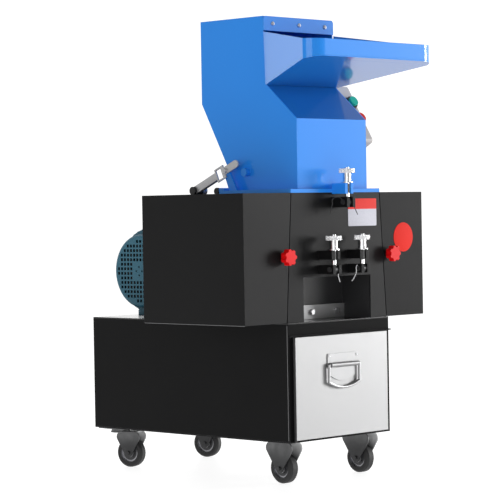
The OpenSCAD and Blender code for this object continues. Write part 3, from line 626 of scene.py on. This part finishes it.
def hex_nut(name, centre, axis, across, height, body):
    """A nut: a six-sided prism whose corners are drawn in over its two faces."""
    axis, first, second = frame_of(axis)
    angle = np.linspace(0, 2 * math.pi, 6, endpoint=False)
    ring = np.outer(np.cos(angle), first) + np.outer(np.sin(angle), second)
    radius = across / 2 / math.cos(math.pi / 6)
    rows = [(radius * 0.9, 0), (radius, height * 0.15),
            (radius, height * 0.85), (radius * 0.88, height)]
    grid = [np.asarray(centre) + (r * ring + h * axis) * MM for r, h in rows]
    return surface(name, grid, steel_screw, body)


# Three screws through the hopper's lintel
LINTEL_SCREWS = (-95, 0, 95)
LINTEL_DROP = 18 * MM
lintel_low, lintel_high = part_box("hopper_roof")
lintel_mid = lintel_high.z - LINTEL_DROP
joined("lintel_screws", [
    screw_head("lintel_screw", (x * MM, lintel_low.y, lintel_mid), FORWARD, 5.2, 3.2, "machine")
    for x in LINTEL_SCREWS])

# Bolts through the steel strip in the recess
STRIP_BOLTS = (-90, 0, 90)
strip_low, strip_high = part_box("steel_strip")
strip_mid = (strip_low.z + strip_high.z) / 2
joined("strip_bolts", [
    hex_nut("strip_bolt", (x * MM, strip_low.y, strip_mid), FORWARD, 13, 6, "machine")
    for x in STRIP_BOLTS])

# Two bare plates, one on the front plate and one on the right guard, placed in mm from the deck
LABEL_MID = (96.0, 264.3)
LABEL_HALF = (53.0, 34.2)
BAND_Z = 272.3
PLATE_THICK = 0.8
PLATE_ROUND = 0.3


def sign_paint():
    """A bare plate: red band over white, with faint mottle in both."""
    finish = Finish("red and white plate", Metallic=0.0, Specular_IOR_Level=0.15)
    band = finish.along("Z") > (base_top + BAND_Z * MM)
    mottle = finish.noise(300.0, 2.0)
    red = finish.blend(mottle, (0.74, 0.032, 0.024), (0.84, 0.044, 0.032))
    white = finish.blend(mottle, (0.56, 0.56, 0.62), (0.68, 0.68, 0.75))
    finish.set("Base Color", finish.blend(band, white, red))
    finish.set("Roughness", 0.55 + mottle * 0.1)
    return finish.material


plate("bare_plate", rounded_outline(*LABEL_HALF, 3.0),
      (LABEL_MID[0] * MM, plate_face, base_top + LABEL_MID[1] * MM),
      PLATE_THICK, PLATE_ROUND, sign_paint(), "machine")

SIGN_MID = (252.0, 199.2)
SIGN_R = 37.2
guard_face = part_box("right_guard")[0].y
sign_red = plain("red sign paint", (0.86, 0.034, 0.024), 0.6, gloss=0.1)
circle = np.linspace(0, 2 * math.pi, 64, endpoint=False)
plate("round_plate", SIGN_R * np.stack([np.cos(circle), np.sin(circle)], -1),
      (SIGN_MID[0] * MM, guard_face, base_top + SIGN_MID[1] * MM),
      PLATE_THICK, PLATE_ROUND, sign_red, "machine")


# Spring clips that hang from the swing bolts' pins
def rounded_path(corners, steps=9):
    """A smooth path through the corners: cubics whose slope at a corner is half the step between
    its neighbours."""
    corners = np.array(corners, float)
    ends = np.vstack([2 * corners[0] - corners[1], corners, 2 * corners[-1] - corners[-2]])
    t = np.linspace(0, 1, steps, endpoint=False)[:, None]
    spans = [0.5 * (2 * b + (c - a) * t + (2 * a - 5 * b + 4 * c - d) * t ** 2
                    + (3 * b - a - 3 * c + d) * t ** 3)
             for a, b, c, d in zip(ends, ends[1:], ends[2:], ends[3:])]
    return np.vstack(spans + [corners[-1:]])


CLIP_R = 1.0 * MM


def clip(name, joint_name, metal, corners):
    """A thin spring wire on a swing bolt, through places given in mm from the bolt's pin."""
    joint = joints[joint_name]
    path = np.array(joint["pos_m"]) + rounded_path(corners) * MM
    return wire(name, path, CLIP_R, metal, joint["child"], sides=8)


clip_wire = plain("clip wire", (0.80, 0.80, 0.81), 0.42, 0.3)
dark_wire = plain("dark clip wire", (0.06, 0.06, 0.062), 0.35, 0.8)
clip("clip_left", "bolt_left_swing", clip_wire,
     [(18, 0, 6), (21, -3, 3), (20, -5, -4), (12, -5, -9), (10, -4, -15), (13, -4, -23),
      (17, -3, -31)])
clip("clip_right", "bolt_right_swing", clip_wire,
     [(-19, -1, 7), (-24, -3, 8), (-28, -4, 2), (-27, -4, -6), (-30, -4, -14), (-36, -3, -23),
      (-42, -2, -30)])
clip("clip_top", "bolt_top_swing", dark_wire,
     [(18, 0, 9), (15, -5, 10), (14, -5, 2), (18, -5, -8), (24, -4, -17), (34, -3, -31)])
clip("clip_top_end", "bolt_top_swing", dark_wire,
     [(-19, 0, 6), (-26, 4, 12), (-35, 10, 11), (-40, 14, 4), (-37, 16, -4), (-39, 17, -14),
      (-44, 17, -28)])


# The motor's fan behind its perforated cover
FAN_R = 78
FAN_THICK = 3
FAN_DEPTH = 14 * MM
BLADES = 9
BLADE_IN = 16
BLADE_OUT = 76
BLADE_HALF = 1.2
BLADE_FORWARD = [-9, 0, 0]
BLADE_SWEEP = 0.006


def motor_fan():
    """Fan: a disc with curved blades, each a strip swept from the hub to the rim, whose angle
    grows with its distance from the hub."""
    centre = np.array([cover_low.x + FAN_DEPTH, cover_middle[1], cover_middle[2]])
    disc = [(AXIS_R, 0), (FAN_R, 0), (FAN_R, FAN_THICK), (AXIS_R, FAN_THICK)]
    parts = [turned("fan_disc", disc, centre, ACROSS, black_part, "machine", 48)]
    for k in range(BLADES):
        r = np.linspace(BLADE_IN, BLADE_OUT, 8)
        angle = 2 * math.pi * k / BLADES + (r - BLADE_IN) * BLADE_SWEEP
        edge = np.stack([np.zeros_like(r), r * np.cos(angle), r * np.sin(angle)], -1)
        normal = np.stack([np.zeros_like(r), -np.sin(angle), np.cos(angle)], -1)
        one, other = edge + normal * BLADE_HALF, edge - normal * BLADE_HALF
        loop = [one + BLADE_FORWARD, other + BLADE_FORWARD, other, one]
        grid = np.stack(loop, 1) * MM + centre
        parts.append(surface("fan_blade", grid, black_part, "machine"))
    return joined("motor_fan", parts)


motor_fan()


# Painted highlights: thin pale beads along the left guard's foot and the cabinet's front corner, where the folded
# edges catch the light
def highlight_bead(name, start, end):
    """A painted highlight: a thin round pale bead along a sheet's edge."""
    return wire(name, np.linspace(start, end, 3), HIGHLIGHT_BEAD_R, highlight_bead_paint, "machine", sides=8)


HIGHLIGHT_BEAD_R = 0.9 * MM
highlight_bead_paint = plain("painted edge highlight", (0.20, 0.20, 0.205), 0.4, 0.3)
left_low, left_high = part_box("left_guard")
walls_low, walls_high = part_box("cabinet_walls")
highlight_bead("left_guard_highlight", (left_low.x + MM, left_low.y + 2 * MM, left_low.z - 0.3 * MM),
          (left_low.x + MM, left_high.y - 2 * MM, left_low.z - 0.3 * MM))
highlight_bead("cabinet_front_highlight", (walls_low.x + 0.2 * MM, walls_low.y + MM, walls_low.z + 3 * MM),
          (walls_low.x + 0.2 * MM, walls_low.y + MM, walls_high.z - 3 * MM))

# A black edging along the drawer front's foot, in the coat darkened with painted shade
drawer_low, drawer_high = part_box("drawer_front")
EDGING_HALF = 2.2
plate("drawer_edging", rounded_outline((drawer_high.x - drawer_low.x) / 2 / MM, EDGING_HALF, 1.8),
      (0, drawer_low.y, drawer_low.z + EDGING_HALF * MM), 0.5, 0.2, shaded_front_black, "drawer")

# A black cap on the end of the hinge's left barrel
hinge_low, hinge_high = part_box("hopper_hinge")
hinge_r = (hinge_high.z - hinge_low.z) / 2 / MM
CAP_L = 6.6
CAP_EDGE = 0.6
cap_r = hinge_r + 0.4
cap_profile = [(AXIS_R, 0), (hinge_r, 0), (cap_r, CAP_EDGE),
               (cap_r, CAP_L - CAP_EDGE), (hinge_r, CAP_L), (AXIS_R, CAP_L)]
cap_centre = (hinge_low.x - MM, hinge_high.y - hinge_r * MM, (hinge_low.z + hinge_high.z) / 2)
turned("hinge_cap", cap_profile, cap_centre, ACROSS, black_part, "machine")


# The drawer's handle is held by a rivet at each end of its upper plate
def handle_rivets():
    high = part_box("handle_plate")[1]
    side = high.x - 6 * MM
    row_y, row_z = high.y - 2 * MM, high.z - 7 * MM
    rivets = [screw_head("handle_rivet", (x, row_y, row_z), FORWARD, 3.2, 1.6, "drawer")
              for x in (-side, side)]
    return joined("handle_rivets", rivets)


# LIGHT, FLOOR AND CAMERA


FLOOR_HALF = 14.0


def floor():
    """A white floor: one square at ground level that glows a little, so that shade stays faint."""
    finish = Finish("white floor", Metallic=0.0, Emission_Color=(1.0, 1.0, 1.0),
                    Emission_Strength=0.86)
    cloud = finish.noise(1.5, 2.0)
    finish.set("Base Color", finish.blend(cloud, (0.36, 0.36, 0.36), (0.40, 0.40, 0.40)))
    finish.set("Roughness", 0.55)
    mesh = bpy.data.meshes.new("floor")
    corners = [(-FLOOR_HALF, -FLOOR_HALF, 0), (FLOOR_HALF, -FLOOR_HALF, 0),
               (FLOOR_HALF, FLOOR_HALF, 0), (-FLOOR_HALF, FLOOR_HALF, 0)]
    mesh.from_pydata(corners, [], [(0, 1, 2, 3)])
    mesh.materials.append(finish.material)
    ground = bpy.data.objects.new("floor", mesh)
    bpy.context.scene.collection.objects.link(ground)


BRIGHT_SIDE = (0.75, 0.66, 0.05)
SEEN_WHITE = 1.4


def world_light():
    """A white studio: bright behind and to the right, dim to the left and overhead, plain white to
    the eye."""
    world = bpy.data.worlds.new("studio")
    bpy.context.scene.world = world
    studio = NodeTree(world)
    where = studio.node("TexCoord", {}, {}).outputs["Generated"]
    dot = studio.node("VectorMath", {"operation": "DOT_PRODUCT"}, {0: where, 1: BRIGHT_SIDE})
    split = studio.node("SeparateXYZ", {}, {0: where})
    sideways = Value(studio, dot.outputs["Value"]).smooth(-0.15, 0.5, 0.42, 1.75)
    overhead = Value(studio, split.outputs["Z"]).smooth(0.15, 0.7, 1.0, 0.3)
    lit = studio.node("Background", {}, {"Strength": sideways * overhead})
    white = studio.node("Background", {}, {"Strength": SEEN_WHITE})
    seen = studio.node("LightPath", {}, {}).outputs["Is Camera Ray"]
    mix = studio.node("MixShader", {}, {0: seen, 1: lit.outputs[0], 2: white.outputs[0]})
    studio.node("OutputWorld", {}, {"Surface": mix.outputs[0]})


LAMP_TARGET = (0.0, 0.0, 0.6)


def lamp(name, place, size, power):
    """A square area lamp that faces the machine's middle: its own Z axis points away from it."""
    light = bpy.data.lights.new(name, "AREA")
    light.shape = "RECTANGLE"
    light.size = light.size_y = size
    light.energy = power
    lamp_object = bpy.data.objects.new(name, light)
    axis, _, _ = frame_of(np.array(place, float) - np.array(LAMP_TARGET))
    side = np.cross([0, 0, 1.0], axis)
    side /= np.linalg.norm(side)
    up = np.cross(axis, side)
    lamp_object.matrix_world = Matrix(np.column_stack([side, up, axis]).tolist()).to_4x4()
    lamp_object.location = place
    bpy.context.scene.collection.objects.link(lamp_object)


# The camera stands where the photograph was taken from. Its focal length is in picture widths
CAMERA_YAW = math.radians(45.568)
CAMERA_DROP = math.radians(1.040)
CAMERA_ROLL = math.radians(-0.972)
CAMERA_FOCAL = 2158.5 / 500
CAMERA_PLACE = (-3948.9, -3566.9, 666.3)
SENSOR_WIDTH = 36.0


def camera():
    """Looks along the yaw and drop, with its right and up vectors turned by the roll."""
    look = np.array([math.sin(CAMERA_YAW) * math.cos(CAMERA_DROP),
                     math.cos(CAMERA_YAW) * math.cos(CAMERA_DROP), -math.sin(CAMERA_DROP)])
    right = np.cross(look, [0, 0, 1.0])
    right /= np.linalg.norm(right)
    up = np.cross(right, look)
    c, s = math.cos(CAMERA_ROLL), math.sin(CAMERA_ROLL)
    axes = np.column_stack([c * right + s * up, c * up - s * right, -look])
    data = bpy.data.cameras.new("camera")
    data.sensor_width = SENSOR_WIDTH
    data.lens = SENSOR_WIDTH * CAMERA_FOCAL
    data.clip_end = 60.0
    eye = bpy.data.objects.new("camera", data)
    eye.matrix_world = Matrix(axes.tolist()).to_4x4()
    eye.location = point(*CAMERA_PLACE)
    bpy.context.scene.collection.objects.link(eye)
    bpy.context.scene.camera = eye


handle_rivets()
floor()
world_light()
lamp("key", (12.7, -7.4, 2.2), 4.4, 1170.0)
lamp("fill", (-3.4, -2.6, 1.3), 2.4, 36.0)
lamp("top", (0.3, 0.9, 3.6), 2.5, 30.0)
camera()
bpy.context.scene.view_settings.view_transform = "Standard"
